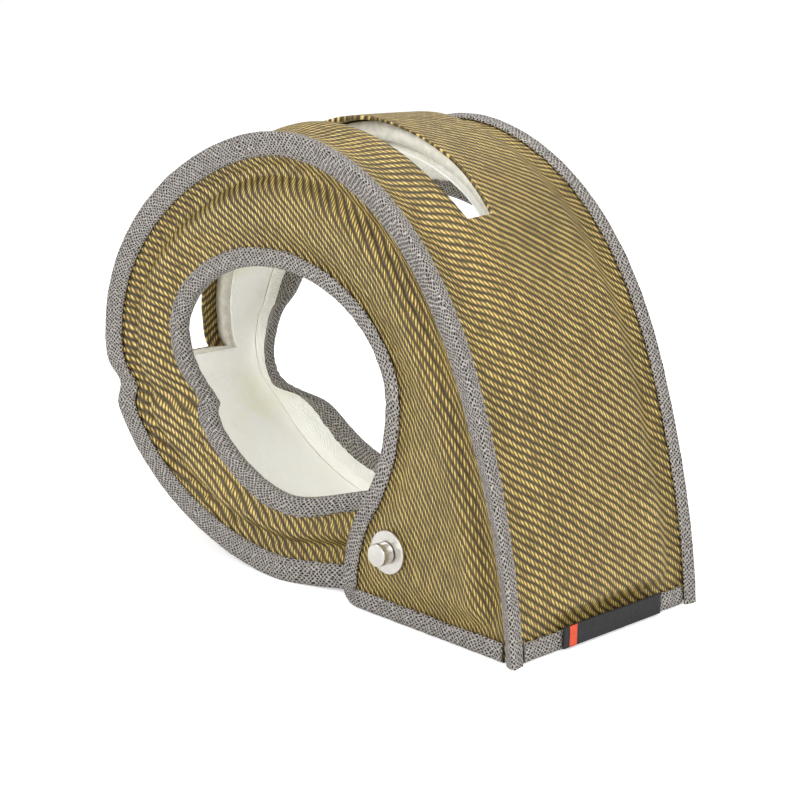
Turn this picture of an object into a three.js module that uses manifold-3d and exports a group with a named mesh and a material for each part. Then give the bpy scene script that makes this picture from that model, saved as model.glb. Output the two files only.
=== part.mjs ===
// Quilted heat blanket for a turbine housing, in millimetres, +Z up.
// Two side panels and a band between them are each sewn from a woven shell, a felt core and a liner.
// X runs along the side panels towards the foot, Y runs from the front panel to the back panel.
// The blanket curls from its foot over the top and round to a tail that tucks in between the flaps.

import * as THREE from "three";
import Module from "manifold-3d";
import { mergeVertices } from "three/addons/utils/BufferGeometryUtils.js";

// Outline of the blanket, seen from the front, measured from the drum's axis and the ground.
const footReach = 147;
const shoulderReach = 124;
const shoulderHeight = 89;
const topReach = 24;
const height = 173;
const leftReach = 82;
const leftHeight = 80;
const groundReach = 26;
const tailReach = 74;
const tailLift = 2.5;

// How far the outline's bends reach from those landmarks.
const footLean = 3.2;
const shoulderFlare = 10.4;
const shoulderBend = 29.7;
const crownDrop = 6.8;
const crownBend = 14.8;
const topBend = 40;
const leftBend = 54.5;
const groundBend = 51;

// Depth over the seam ridges: at the foot and over the top, at the left side, and at the tail.
const footDepth = 106;
const leftDepth = 88;
const tailDepth = 74;
const tailTuck = 11.5;

// Free edge of the side panels: the flap at the foot and the bore beside it.
const flapReach = 59;
const flapCorner = 8;
const frontBore = { right: 78, rightHeight: 80, topReach: 20, top: 121, left: -35, leftHeight: 86,
  groundReach: 28, bottom: 34, tail: 44.5 };
const backBore = { right: 76, rightHeight: 84, topReach: 8, top: 139, left: -60, leftHeight: 84,
  groundReach: 16, bottom: 27, tail: 40 };
const tailSag = 2;

// Layers of the quilt.
const shellThickness = 1.2;
const linerThickness = 1;
const quiltThickness = 10.5;
const layerGap = 0.3;
const coreGap = 0.8;
const leastStep = 0.5;

// Folded mesh tape over the seams and the free edges.
const tapeThickness = 1;
const tapeGap = 0.45;
const tapeEndGap = 2;
const tapeClearance = 0.4;
const tapeMargin = 1;
const foldChamfer = 1.2;
const foldRound = 1.5;
const foldSlack = 0.05;
const ridgeFlat = 1.5;
const ridgeLift = 0.1;
const ridgeRound = 0.9;
const ridgeInside = 1.2;
const edgeTapeWidth = 7.5;
const hemTapeWidth = 8;
const seamLegAtFoot = 6;
const seamLeg = 10;
const bandLeg = 6.5;

// How far the shell lies below the ridge of the seam tape.
const seamDrop = 1.5;
const miterFlat = 3.4;
const tapeEdgeDrop = 2.9;
const valleyDrop = 4;
const valleyWidth = 5;
const pillowRise = 10;
const panelCrest = 0.8;
const bandCrest = -2;
const bandCrestOnGround = 0.4;
const bandTapeDrop = 2.5;

// Fold where the blanket was pressed flat, across its left side.
const creaseDepth = 3;
const bandCreaseDepth = 2;
const creaseWidth = 6;
const backCreaseDepth = 6;
const backCreaseWidth = 16;

// At the fold the free edge of each side panel leans in between the panels.
const frontEdgeLean = 2;
const backEdgeLean = 14;
const leanWidth = 18;

// Slot through the band.
const slotWidth = 20.5;
const slotFromFront = 27.5;
const slotDrift = 7;
const linerSetback = 6;
const slotEndWidth = 5;
const slotTaper = 0.22;
const slotStart = 4 / 3;
const slotEnd = 3.75;

// Lacing stud on each flap.
const studReach = 84;
const studHeight = 27;
const studPostRadius = 4.3;
const studShankRadius = 2;
const studProud = 5.6;
const washerRadius = 8.2;
const washerThickness = 1.2;
const clinchWasherRadius = 5.5;
const clinchHeight = 1.2;
const shankClearance = 0.4;
const clinchSetback = 2;
const washerRound = 0.3;
const postChamfer = 0.6;
const roundSides = 20;

// Bare tab on the hem of the band.
const tabLength = 56;
const tabHeight = 8;
const tabThickness = 0.8;
const tabOffset = 2;
const tabLift = 1;

const lerp = THREE.MathUtils.lerp;
const smoothstep = THREE.MathUtils.smoothstep;

function curve(x0, z0, x1, z1, x2, z2, x3, z3) {
  const points = [[x0, z0], [x1, z1], [x2, z2], [x3, z3]].map(([x, z]) => new THREE.Vector2(x, z));
  return new THREE.CubicBezierCurve(...points);
}

// Five curves each: foot to shoulder, over the top, down the left side, along the ground, tail.
const edgeInset = tapeThickness + tapeClearance;
const outline = [
  curve(footReach, 0, footReach - footLean, shoulderHeight * 0.34,
    shoulderReach + shoulderFlare, shoulderHeight * 0.7, shoulderReach, shoulderHeight),
  curve(shoulderReach, shoulderHeight, shoulderReach - shoulderBend, height - crownDrop,
    topReach + crownBend, height, topReach, height),
  curve(topReach, height, topReach - topBend, height,
    -leftReach, leftHeight + leftBend, -leftReach, leftHeight),
  curve(-leftReach, leftHeight, -leftReach, leftHeight * 0.41, groundReach - groundBend, 0, groundReach, 0),
  curve(groundReach, 0, lerp(groundReach, tailReach, 0.35), 0,
    lerp(groundReach, tailReach, 0.7), tailLift, tailReach, tailLift),
];

function freeEdge(bore) {
  return [
    curve(flapReach, flapCorner, flapReach, bore.rightHeight * 0.56,
      bore.right, bore.rightHeight * 0.52, bore.right, bore.rightHeight),
    curve(bore.right, bore.rightHeight, bore.right, lerp(bore.rightHeight, bore.top, 0.5),
      lerp(bore.right, bore.topReach, 0.4), bore.top, bore.topReach, bore.top),
    curve(bore.topReach, bore.top, lerp(bore.topReach, bore.left, 0.56), bore.top,
      bore.left, lerp(bore.leftHeight, bore.top, 0.5), bore.left, bore.leftHeight),
    curve(bore.left, bore.leftHeight, bore.left, lerp(bore.leftHeight, bore.bottom, 0.3),
      lerp(bore.groundReach, bore.left, 0.56), bore.bottom, bore.groundReach, bore.bottom),
    curve(bore.groundReach, bore.bottom, lerp(bore.groundReach, tailReach, 0.3), bore.bottom,
      lerp(bore.groundReach, tailReach, 0.6), bore.tail - tailSag, tailReach, bore.tail),
  ];
}

// A place t along the blanket counts its landmarks: 0 foot, 1 shoulder, 2 top, 3 left side,
// 4 crease, 5 ground and 6 tail. The crease meets each curve at a share of its fourth stretch,
// and the flap's corner takes the first share of the way to the shoulder.
const creaseShareOutline = 0.16;
const creaseShareEdge = 0.42;
const hemShare = 0.1;
const tailPlace = 6;

function along(curves, t, creaseShare, startShare) {
  let s = t;
  if (t < 1) s = Math.max(0, (t - startShare) / (1 - startShare));
  if (t > 3 && t <= 4) s = 3 + (t - 3) * creaseShare;
  if (t > 4) s = t <= 5 ? 3 + lerp(creaseShare, 1, t - 4) : t - 1;
  const n = Math.min(curves.length - 1, Math.floor(s));
  return curves[n].getPoint(s - n);
}

// Places of the grid lines: closer near the foot's hem and near the crease.
const steps = { foot: 6, shoulder: 9, top: 8, left: 4, crease: 8, tail: 4 };
const spread = (from, start, count, ease) => Array.from({ length: count },
  (_, k) => from + lerp(start, 1, (k / count) ** ease));
const places = [0, ...spread(0, hemShare, steps.foot, 1.2), ...spread(1, 0, steps.shoulder, 1),
  ...spread(2, 0, steps.top, 1), ...spread(3, 0, steps.left, 1), ...spread(4, 0, steps.crease, 1.6),
  ...spread(5, 0, steps.tail, 0.8), tailPlace];

// The fold bends the blanket inward all round the crease.
const plainOutline = (t) => along(outline, t, creaseShareOutline, 0);
const creasePoint = plainOutline(4);
function creaseBump(t, width) {
  if (t < 2.5 || t > 5) return 0;
  return Math.exp(-((plainOutline(t).distanceTo(creasePoint) / width) ** 2));
}

// The layers of the band are stacked along this direction, level at the foot.
const frontEdge = freeEdge(frontBore);
function inwardAt(t) {
  const inward = along(frontEdge, t, creaseShareEdge, hemShare).sub(plainOutline(t)).normalize();
  inward.y *= smoothstep(t, 0, hemShare);
  return inward.normalize();
}
function outlineAt(t) {
  const dent = bandCreaseDepth * creaseBump(t, creaseWidth);
  return plainOutline(t).addScaledVector(inwardAt(t), dent);
}
function layerStart(i) {
  const start = outlineAt(places[i]);
  if (i === 0) start.y = edgeInset;
  return start;
}

// Where the ridge of each seam lies in Y.
function frontY(t) {
  return -footDepth / 2 + tailTuck * smoothstep(t, 4.9, 5.75) + creaseDepth * creaseBump(t, creaseWidth);
}
function backY(t) {
  const narrowed = lerp(footDepth, leftDepth, smoothstep(t, 2.2, 3.2));
  const depth = lerp(narrowed, tailDepth + tailTuck, smoothstep(t, 3.2, 5));
  return -footDepth / 2 + depth - backCreaseDepth * creaseBump(t, backCreaseWidth);
}

function bend(x, knots) {
  for (let i = 1; i < knots.length; i += 1) {
    const [x0, y0] = knots[i - 1];
    const [x1, y1] = knots[i];
    if (x <= x1) return lerp(y0, y1, THREE.MathUtils.clamp((x - x0) / (x1 - x0), 0, 1));
  }
  return knots.at(-1)[1];
}

// The layers are pinched thin towards the foot's hem and the tail's end, where tape binds them.
const coreSkip = 2;
function boundShare(t) {
  const point = outlineAt(t);
  const fromFoot = t < 2 ? point.y : Infinity;
  const fromTail = t > 4.5 ? point.distanceTo(outlineAt(tailPlace)) : Infinity;
  return bend(Math.min(fromFoot, fromTail), [[hemTapeWidth + tapeMargin, 1], [hemTapeWidth + pillowRise, 0]]);
}

// Depth of the liner's face where shell and liner meet in an edge tape.
const pinched = tapeEdgeDrop + shellThickness + layerGap + linerThickness;
const leanStart = quiltThickness + layerGap;
const coreEnd = 4.6;
const narrowPillow = [20, 45];
const seamStretch = 15;
const between = (list, n) => lerp(list[Math.floor(n)], list[Math.ceil(n)], n - Math.floor(n));

// Rulings leave the seam along the stacking direction and turn towards the free edge.
function turnPoint(from, t, goal) {
  const stretch = Math.min(seamStretch, from.distanceTo(goal) / 2);
  return from.clone().addScaledVector(inwardAt(t), stretch);
}
const seamLegAt = (t) => lerp(seamLegAtFoot, seamLeg, smoothstep(t, 0.3, 1.6));

// A side panel: its seam lies on the outline, its free edge runs along the flap and the bore.
function sidePanel(name, bore, ridgeY, facing, edgeLean) {
  const edge = freeEdge(bore);
  const edgeAt = (t) => along(edge, t, creaseShareEdge, hemShare);
  const cornerSteps = 3;
  const corner = Array.from({ length: cornerSteps }, (_, k) => {
    const angle = (Math.PI / 2) * (k / cornerSteps);
    const x = flapReach + flapCorner * (1 - Math.sin(angle));
    return new THREE.Vector2(x, flapCorner * (1 - Math.cos(angle)));
  });
  const hemStart = new THREE.Vector2(footReach - seamLegAtFoot - tapeGap - tapeMargin, 0);
  const path = [
    { point: hemStart, t: 0 },
    ...corner.map((point) => ({ point, t: 0 })),
    ...places.slice(1).map((t) => ({ point: edgeAt(t), t })),
  ];
  const line = path.map((stop) => stop.point);
  path.forEach((stop, i) => {
    const before = line[Math.max(i - 1, 0)];
    const after = line[Math.min(i + 1, line.length - 1)];
    const heading = after.clone().sub(before).normalize();
    stop.inward = new THREE.Vector2(heading.y, -heading.x);
    if (i === 0) stop.inward.set(0, 1);
    if (stop.t > 0) {
      const ruling = turnPoint(outlineAt(stop.t), stop.t, stop.point).sub(stop.point).normalize();
      stop.inward.lerp(ruling, smoothstep(stop.t, 0.6, 1.6)).normalize();
    }
  });

  // The panel's own edge lies a little inside the tape's fold; its foot edge just above the ground.
  function panelEdge(i) {
    if (i === 0) return new THREE.Vector2(flapReach + flapCorner, edgeInset);
    const stop = path[cornerSteps + i];
    return stop.point.clone().addScaledVector(stop.inward, edgeInset);
  }
  const rulings = places.map((t, i) => {
    const from = layerStart(i);
    const turn = turnPoint(from, t, panelEdge(i));
    const onward = panelEdge(i).sub(turn);
    const stretch = turn.distanceTo(from);
    const heading = onward.clone().normalize();
    const slant = i === 0 ? 1 : Math.abs(heading.dot(path[cornerSteps + i].inward));
    const length = stretch + onward.length();
    const lean = edgeLean * creaseBump(t, leanWidth);
    const slope = lean / (length - leanStart);
    const level = 1 / Math.hypot(1, slope);
    const bound = (edgeTapeWidth * level + tapeMargin - edgeInset) / slant;
    return { from, heading, stretch, length, lean, slope, level, bound };
  });
  function place(i, fromSeam) {
    const { from, heading, stretch } = rulings[i];
    const point = from.clone().addScaledVector(inwardAt(places[i]), Math.min(fromSeam, stretch));
    return point.addScaledVector(heading, Math.max(fromSeam - stretch, 0));
  }

  // Stops along a ruling, in order also where it is short: the seam, the end of the seam tape's leg,
  // the valley beside it, the pillow's crest and knee, the edge tape and the free edge.
  function stopsAt(i) {
    const w = rulings[i].length;
    const leg = Math.min(seamLegAt(places[i]), w * 0.36);
    const valley = Math.min(leg + valleyWidth, w * 0.5);
    const crest = Math.min(valley + pillowRise, w * 0.56);
    const tapeEdge = w - rulings[i].bound;
    const knee = Math.max(tapeEdge - pillowRise, crest + leastStep);
    return [0, leg, valley, crest, knee, tapeEdge, w];
  }
  function facesAt(i) {
    const share = boundShare(places[i]);
    const crest = lerp(tapeEdgeDrop, panelCrest, smoothstep(rulings[i].length, ...narrowPillow));
    const open = [seamDrop, tapeEdgeDrop, valleyDrop, crest, crest, tapeEdgeDrop, tapeEdgeDrop];
    const outer = open.map((drop, n) => (n === 0 ? drop : lerp(drop, tapeEdgeDrop, share)));
    const inner = open.map((drop, n) => (n < 5 ? lerp(quiltThickness, pinched, share) : pinched));
    return { outer, inner };
  }

  // Every layer is mitred at the seam, where the band's layer of the same depth meets it.
  function layer(kept, face, skip = 0) {
    const at = (n, j, side) => {
      const i = n + skip;
      const { outer, inner } = facesAt(i);
      const depth = (stop) => face(between(outer, stop), between(inner, stop), side);
      const miter = depth(0) + layerGap * 0.6;
      const fromSeam = Math.max(between(stopsAt(i), kept[j]), miter + j * leastStep);
      const point = place(i, fromSeam);
      const leaning = Math.max(fromSeam - leanStart, 0) * rulings[i].slope;
      return new THREE.Vector3(point.x, ridgeY(places[i]) - facing * (depth(kept[j]) + leaning), point.y);
    };
    return gridSolid(places.length - 1 - 2 * skip, kept.length - 1, at, () => false);
  }
  const shell = layer([0, 1, 2, 3, 4, 5, 6], (outer, inner, side) => outer + side * shellThickness);
  const core = layer(
    [0, 2, 3, 4, coreEnd],
    (outer, inner, side) => (side === 0 ? outer + shellThickness + coreGap : inner - linerThickness - coreGap),
    coreSkip,
  );
  const liner = layer([0, 4, 5, 6], (outer, inner, side) => inner - (1 - side) * linerThickness);

  const flat = { lean: 0, slope: 0, level: 1 };
  const stops = path.map(({ point, inward, t }, n) => {
    const { lean, slope, level } = n > cornerSteps ? rulings[n - cornerSteps] : flat;
    return {
      origin: new THREE.Vector3(point.x, ridgeY(t) - facing * (lean + slope * edgeInset), point.y),
      inward: new THREE.Vector3(inward.x, facing * slope, inward.y).multiplyScalar(level),
      below: new THREE.Vector3(0, -facing, 0),
    };
  });
  return { name, shell, core, liner, tape: edgeTape(stops), edgeAt };
}

// An edge tape is folded round a free edge, over the shell outside and the liner inside.
function edgeTape(stops) {
  const outside = tapeEdgeDrop - tapeGap - tapeThickness;
  const inside = pinched + tapeGap + tapeThickness;
  const fold = tapeThickness + foldSlack;
  const profile = [[edgeTapeWidth, outside], [foldChamfer, outside], [0, outside + foldRound],
    [0, inside - foldRound], [foldChamfer, inside], [edgeTapeWidth, inside],
    [edgeTapeWidth, inside - tapeThickness], [fold, inside - tapeThickness], [fold, outside + tapeThickness],
    [edgeTapeWidth, outside + tapeThickness]];
  const rings = stops.map(({ origin, inward, below }) => profile.map(
    ([b, depth]) => origin.clone().addScaledVector(inward, b).addScaledVector(below, depth),
  ));
  return sweepSolid(rings, profile);
}

// A closed solid between two grids of points. Cells that are open leave a hole with walls round it.
function gridSolid(rows, columns, at, open) {
  const positions = [];
  const triangles = [];
  const known = new Map();
  function vertex(i, j, side) {
    const key = `${i} ${j} ${side}`;
    if (!known.has(key)) {
      known.set(key, positions.length / 3);
      positions.push(...at(i, j, side).toArray());
    }
    return known.get(key);
  }
  const solid = (i, j) => i >= 0 && j >= 0 && i < rows && j < columns && !open(i, j);
  const quad = (a, b, c, d) => triangles.push(a, b, c, a, c, d);
  for (let i = 0; i < rows; i += 1) {
    for (let j = 0; j < columns; j += 1) {
      if (!solid(i, j)) continue;
      const corners = [[i, j], [i + 1, j], [i + 1, j + 1], [i, j + 1]];
      const neighbours = [[i, j - 1], [i + 1, j], [i, j + 1], [i - 1, j]];
      const [a, b, c, d] = corners.map(([m, n]) => vertex(m, n, 0));
      const [e, f, g, h] = corners.map(([m, n]) => vertex(m, n, 1));
      quad(a, b, c, d);
      quad(e, h, g, f);
      neighbours.forEach(([m, n], k) => {
        if (solid(m, n)) return;
        const from = corners[k];
        const to = corners[(k + 1) % 4];
        quad(vertex(...to, 0), vertex(...from, 0), vertex(...from, 1), vertex(...to, 1));
      });
    }
  }
  return closedGeometry(positions, triangles);
}

// A closed solid that joins like rings, with a flat cap on the first and the last. Its faces are
// split the same way as those of the layers that it holds, so that they stay parallel in a fold.
function sweepSolid(rings, profile) {
  const count = profile.length;
  const positions = rings.flatMap((ring) => ring.flatMap((point) => point.toArray()));
  const triangles = [];
  for (let i = 1; i < rings.length; i += 1) {
    for (let k = 0; k < count; k += 1) {
      const a = (i - 1) * count + k;
      const b = (i - 1) * count + ((k + 1) % count);
      const edgeward = profile[k][0] >= profile[(k + 1) % count][0];
      if (edgeward) triangles.push(a, b, b + count, a, b + count, a + count);
      else triangles.push(a, b, a + count, b, b + count, a + count);
    }
  }
  const shape = profile.map(([x, y]) => new THREE.Vector2(x, y));
  const turned = THREE.ShapeUtils.area(shape) < 0;
  const last = (rings.length - 1) * count;
  for (const [a, b, c] of THREE.ShapeUtils.triangulateShape(shape, [])) {
    const face = turned ? [a, b, c] : [a, c, b];
    const cross = (shape[face[1]].x - shape[face[0]].x) * (shape[face[2]].y - shape[face[0]].y)
      - (shape[face[1]].y - shape[face[0]].y) * (shape[face[2]].x - shape[face[0]].x);
    const sameWay = cross * (turned ? -1 : 1) < 0;
    const near = sameWay ? face : [face[0], face[2], face[1]];
    triangles.push(...near, last + near[0], last + near[2], last + near[1]);
  }
  return closedGeometry(positions, triangles);
}

// Turns the faces outwards if they enclose a negative volume.
function closedGeometry(positions, triangles) {
  const corner = (n) => new THREE.Vector3().fromArray(positions, triangles[n] * 3);
  let volume = 0;
  for (let n = 0; n < triangles.length; n += 3) {
    volume += corner(n).dot(corner(n + 1).cross(corner(n + 2)));
  }
  if (volume < 0) triangles.reverse();
  const geometry = new THREE.BufferGeometry();
  geometry.setAttribute("position", new THREE.Float32BufferAttribute(positions, 3));
  geometry.setIndex(triangles);
  geometry.computeVertexNormals();
  return geometry;
}

// The band between the side panels, with the slot left open in all its layers.
const frontPanel = sidePanel("front", frontBore, frontY, -1, frontEdgeLean);
const backPanel = sidePanel("back", backBore, backY, 1, backEdgeLean);

const bandWidth = (t) => backY(t) - frontY(t);
function slotMiddle(t) {
  const drift = smoothstep(t, 2, 3.2) - 2 * smoothstep(t, 4, 5);
  return slotFromFront + slotWidth / 2 + slotDrift * drift;
}
function slotHalf(t) {
  const taper = smoothstep(t, slotStart - slotTaper, slotStart + slotTaper);
  return lerp(slotEndWidth, slotWidth, taper) / 2;
}
const slotNear = (t) => slotMiddle(t) - slotHalf(t);
const slotFar = (t) => slotMiddle(t) + slotHalf(t);

const bandStops = (t, miter) => {
  const w = bandWidth(t);
  const valley = bandLeg + valleyWidth;
  return [miter, bandLeg, valley, slotNear(t), slotFar(t), w - valley - pillowRise * 1.3, w - valley,
    w - bandLeg, w - miter];
};
function bandDrop(fromFront, t) {
  const crest = lerp(bandCrest, bandCrestOnGround, smoothstep(t, 3.7, 4.3));
  const valley = tapeEdgeDrop;
  const drops = [seamDrop, bandTapeDrop, valley, crest * 0.8, crest, crest * 0.8, valley,
    bandTapeDrop, seamDrop];
  const knots = bandStops(t, miterFlat).map((stop, n) => [stop, drops[n]]);
  const bound = [seamDrop, ...Array(7).fill(tapeEdgeDrop), seamDrop];
  const boundKnots = bandStops(t, miterFlat).map((stop, n) => [stop, bound[n]]);
  return lerp(bend(fromFront, knots), bend(fromFront, boundKnots), boundShare(t));
}

function bandPoint(i, inward, fromFront) {
  const t = places[i];
  const spot = layerStart(i).addScaledVector(inwardAt(t), inward);
  return new THREE.Vector3(spot.x, frontY(t) + fromFront, spot.y);
}

function bandLayer(stopsAt, depthAt, open, skip = 0) {
  const at = (n, j, side) => {
    const i = n + skip;
    const t = places[i];
    const miter = depthAt(0, t, side) + layerGap * 0.6;
    const stops = stopsAt(t, miter);
    const last = stops.length - 1;
    const nearFront = miter + j * leastStep;
    const nearBack = bandWidth(t) - miter - (last - j) * leastStep;
    const fromFront = THREE.MathUtils.clamp(stops[j], nearFront, nearBack);
    return bandPoint(i, depthAt(fromFront, t, side), fromFront);
  };
  return gridSolid(places.length - 1 - 2 * skip, stopsAt(0, 0).length - 1, at, (i, j) => open(i + skip, j));
}

const nearly = 1e-6;
const inSlot = (i) => places[i] > slotStart - nearly && places[i + 1] < slotEnd + nearly;
const coreStops = (t, miter) => {
  const w = bandWidth(t);
  const valley = bandLeg + valleyWidth;
  return [miter, valley, slotNear(t) - linerSetback, slotFar(t) + linerSetback, w - valley, w - miter];
};
const linedStops = (t, miter) => {
  const w = bandWidth(t);
  const valley = bandLeg + valleyWidth;
  return [miter, valley, slotNear(t) - linerSetback, slotFar(t) + linerSetback, w - valley, w - miter];
};
const bandShell = bandLayer(bandStops,
  (fromFront, t, side) => bandDrop(fromFront, t) + side * shellThickness,
  (i, j) => j === 3 && inSlot(i));
const backing = (t) => lerp(quiltThickness, pinched, boundShare(t));
const bandCore = bandLayer(coreStops,
  (fromFront, t, side) => (side === 0
    ? bandDrop(fromFront, t) + shellThickness + coreGap
    : backing(t) - linerThickness - coreGap),
  (i, j) => j === 2 && inSlot(i),
  coreSkip);
const bandLiner = bandLayer(linedStops,
  (fromFront, t, side) => backing(t) - (1 - side) * linerThickness,
  (i, j) => j === 2 && inSlot(i));

// The seam tape is folded over the standing seam between a side panel and the band.
function seamTape(ridgeY, facing) {
  const out = seamDrop - tapeGap - tapeThickness;
  const sideEnd = tapeEdgeDrop - tapeGap;
  const bandEnd = bandTapeDrop - tapeGap;
  const band = bandLeg - tapeGap;
  const profileAt = (leg) => [[leg, sideEnd - tapeThickness], [ridgeFlat, out - ridgeLift],
    [0, ridgeRound], [bandEnd - tapeThickness, band], [bandEnd, band], [seamDrop - tapeGap, ridgeInside],
    [ridgeInside, seamDrop - tapeGap], [leg, sideEnd]];
  const rings = places.map((t, i) => profileAt(seamLegAt(t) - tapeGap).map(([inward, below]) => {
    const spot = outlineAt(t).addScaledVector(inwardAt(t), inward);
    return new THREE.Vector3(spot.x, ridgeY(t) - facing * below, i === 0 ? 0 : spot.y);
  }));
  return sweepSolid(rings, profileAt(seamLeg));
}

// Straight tapes: the hem of the band at the foot, and the tail's end on all three sides.
function hemTape() {
  const clear = bandLeg + 2 * tapeGap;
  const rise = outlineAt(places[1]).sub(outlineAt(0)).normalize();
  return edgeTape([frontY(0) + clear, backY(0) - clear].map((y) => ({
    origin: new THREE.Vector3(footReach, y, 0),
    inward: new THREE.Vector3(rise.x, 0, rise.y),
    below: new THREE.Vector3(-1, 0, 0),
  })));
}
const tailEnd = outlineAt(tailPlace);
const tailTapeReach = tailEnd.x + edgeInset;
function tailBandTape() {
  const clear = bandLeg + 2 * tapeGap;
  return edgeTape([frontY(tailPlace) + clear, backY(tailPlace) - clear].map((y) => ({
    origin: new THREE.Vector3(tailTapeReach, y, tailEnd.y),
    inward: new THREE.Vector3(-1, 0, 0),
    below: new THREE.Vector3(0, 0, 1),
  })));
}
function tailSideTape(panel, ridgeY, facing) {
  const low = tailEnd.y + Math.max(seamLeg, pinched + tapeThickness) + 2 * tapeGap;
  const high = panel.edgeAt(tailPlace).y - edgeTapeWidth - tapeEndGap;
  return edgeTape([low, high].map((z) => ({
    origin: new THREE.Vector3(tailTapeReach, ridgeY(tailPlace), z),
    inward: new THREE.Vector3(-1, 0, 0),
    below: new THREE.Vector3(0, -facing, 0),
  })));
}

// A lacing stud: a post with a shank through the flap, clinched over a washer inside.
const shellFace = -panelCrest;
const linerFace = -quiltThickness;
const shankHole = studShankRadius + shankClearance;
function turned(profile) {
  const points = profile.map(([radius, along]) => new THREE.Vector2(radius, along));
  return new THREE.LatheGeometry(points, roundSides);
}
function ringOf(radius, from, to) {
  return turned([[shankHole, from], [radius - washerRound, from], [radius, from + washerRound],
    [radius, to - washerRound], [radius - washerRound, to], [shankHole, to], [shankHole, from]]);
}
const clinchWasher = () => ringOf(clinchWasherRadius, clinchFace + layerGap,
  clinchFace + layerGap + washerThickness);
const washerTop = shellFace + layerGap + washerThickness;
const clinchFace = linerFace - 2 * layerGap - washerThickness;
function studPost() {
  const top = washerTop + studProud;
  const seat = washerTop + layerGap;
  const clinchRadius = clinchWasherRadius - clinchSetback;
  return turned([[0, clinchFace - clinchHeight], [clinchRadius, clinchFace - clinchHeight],
    [clinchRadius, clinchFace], [studShankRadius, clinchFace], [studShankRadius, seat], [studPostRadius, seat],
    [studPostRadius, top - postChamfer], [studPostRadius - postChamfer, top], [0, top]]);
}

const wasm = await Module();
wasm.setup();
function toManifold(geometry) {
  const plain = new THREE.BufferGeometry();
  plain.setAttribute("position", geometry.getAttribute("position"));
  plain.setIndex(geometry.getIndex());
  const merged = mergeVertices(plain);
  return new wasm.Manifold(new wasm.Mesh({
    numProp: 3,
    vertProperties: new Float32Array(merged.getAttribute("position").array),
    triVerts: new Uint32Array(merged.getIndex().array),
  }));
}
function cut(geometry, tool) {
  const mesh = toManifold(geometry).subtract(toManifold(tool)).getMesh();
  const result = new THREE.BufferGeometry();
  result.setAttribute("position", new THREE.Float32BufferAttribute(mesh.vertProperties, 3));
  result.setIndex([...mesh.triVerts]);
  result.computeVertexNormals();
  return result;
}
const holeDrill = new THREE.CylinderGeometry(shankHole, shankHole, 2 * footDepth, 12)
  .translate(studReach, 0, studHeight);

const group = new THREE.Group();
function add(name, geometry, color, roughness, metalness = 0) {
  const material = new THREE.MeshStandardMaterial({ color, roughness, metalness });
  const mesh = new THREE.Mesh(geometry, material);
  mesh.name = name;
  group.add(mesh);
  return mesh;
}

const shellColor = 0x8f7a45;
const tapeColor = 0xb5b0ac;
const linerColor = 0xefeee6;
const coreColor = 0xd8d4c8;
const steelColor = 0xd9d7d3;
const tabColor = 0x1a1a1c;

for (const [panel, ridgeY, facing] of [[frontPanel, frontY, -1], [backPanel, backY, 1]]) {
  add(`${panel.name}_panel_shell`, cut(panel.shell, holeDrill), shellColor, 0.45);
  add(`${panel.name}_panel_core`, cut(panel.core, holeDrill), coreColor, 0.95);
  add(`${panel.name}_panel_liner`, cut(panel.liner, holeDrill), linerColor, 0.9);
  add(`${panel.name}_edge_tape`, panel.tape, tapeColor, 0.6);
  add(`${panel.name}_seam_tape`, seamTape(ridgeY, facing), tapeColor, 0.6);
  add(`${panel.name}_tail_tape`, tailSideTape(panel, ridgeY, facing), tapeColor, 0.6);
  const stud = [
    add(`${panel.name}_stud_post`, studPost(), steelColor, 0.35, 1),
    add(`${panel.name}_stud_washer`, ringOf(washerRadius, washerTop - washerThickness, washerTop),
      steelColor, 0.35, 1),
    add(`${panel.name}_stud_clinch_washer`, clinchWasher(), steelColor, 0.35, 1),
  ];
  for (const piece of stud) {
    piece.position.set(studReach, ridgeY(0), studHeight);
    piece.rotation.x = facing < 0 ? Math.PI : 0;
  }
}
add("band_shell", bandShell, shellColor, 0.45);
add("band_core", bandCore, coreColor, 0.95);
add("band_liner", bandLiner, linerColor, 0.9);
add("band_foot_tape", hemTape(), tapeColor, 0.6);
add("band_tail_tape", tailBandTape(), tapeColor, 0.6);
const tabFace = footReach - (tapeEdgeDrop - tapeGap - tapeThickness) + layerGap;
add("label_tab", new THREE.BoxGeometry(tabThickness, tabLength, tabHeight)
  .translate(tabFace + tabThickness / 2, tabOffset, tabLift + tabHeight / 2), tabColor, 0.7);

// The origin is moved to the middle of the ground under the whole blanket.
group.updateMatrixWorld(true);
const box = new THREE.Box3().setFromObject(group, true);
const middle = box.getCenter(new THREE.Vector3());
group.position.set(-middle.x, -middle.y, -box.min.z);

export default group;
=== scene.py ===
# Quilted heat blanket for a turbine housing: woven shell, liner, mesh tape, lacing studs and a bare tab.
# Lengths are written in millimetres, measured from the drum's axis and the ground, as in the solids.
import math
import bpy
import numpy as np
from mathutils import Matrix, Vector


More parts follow.
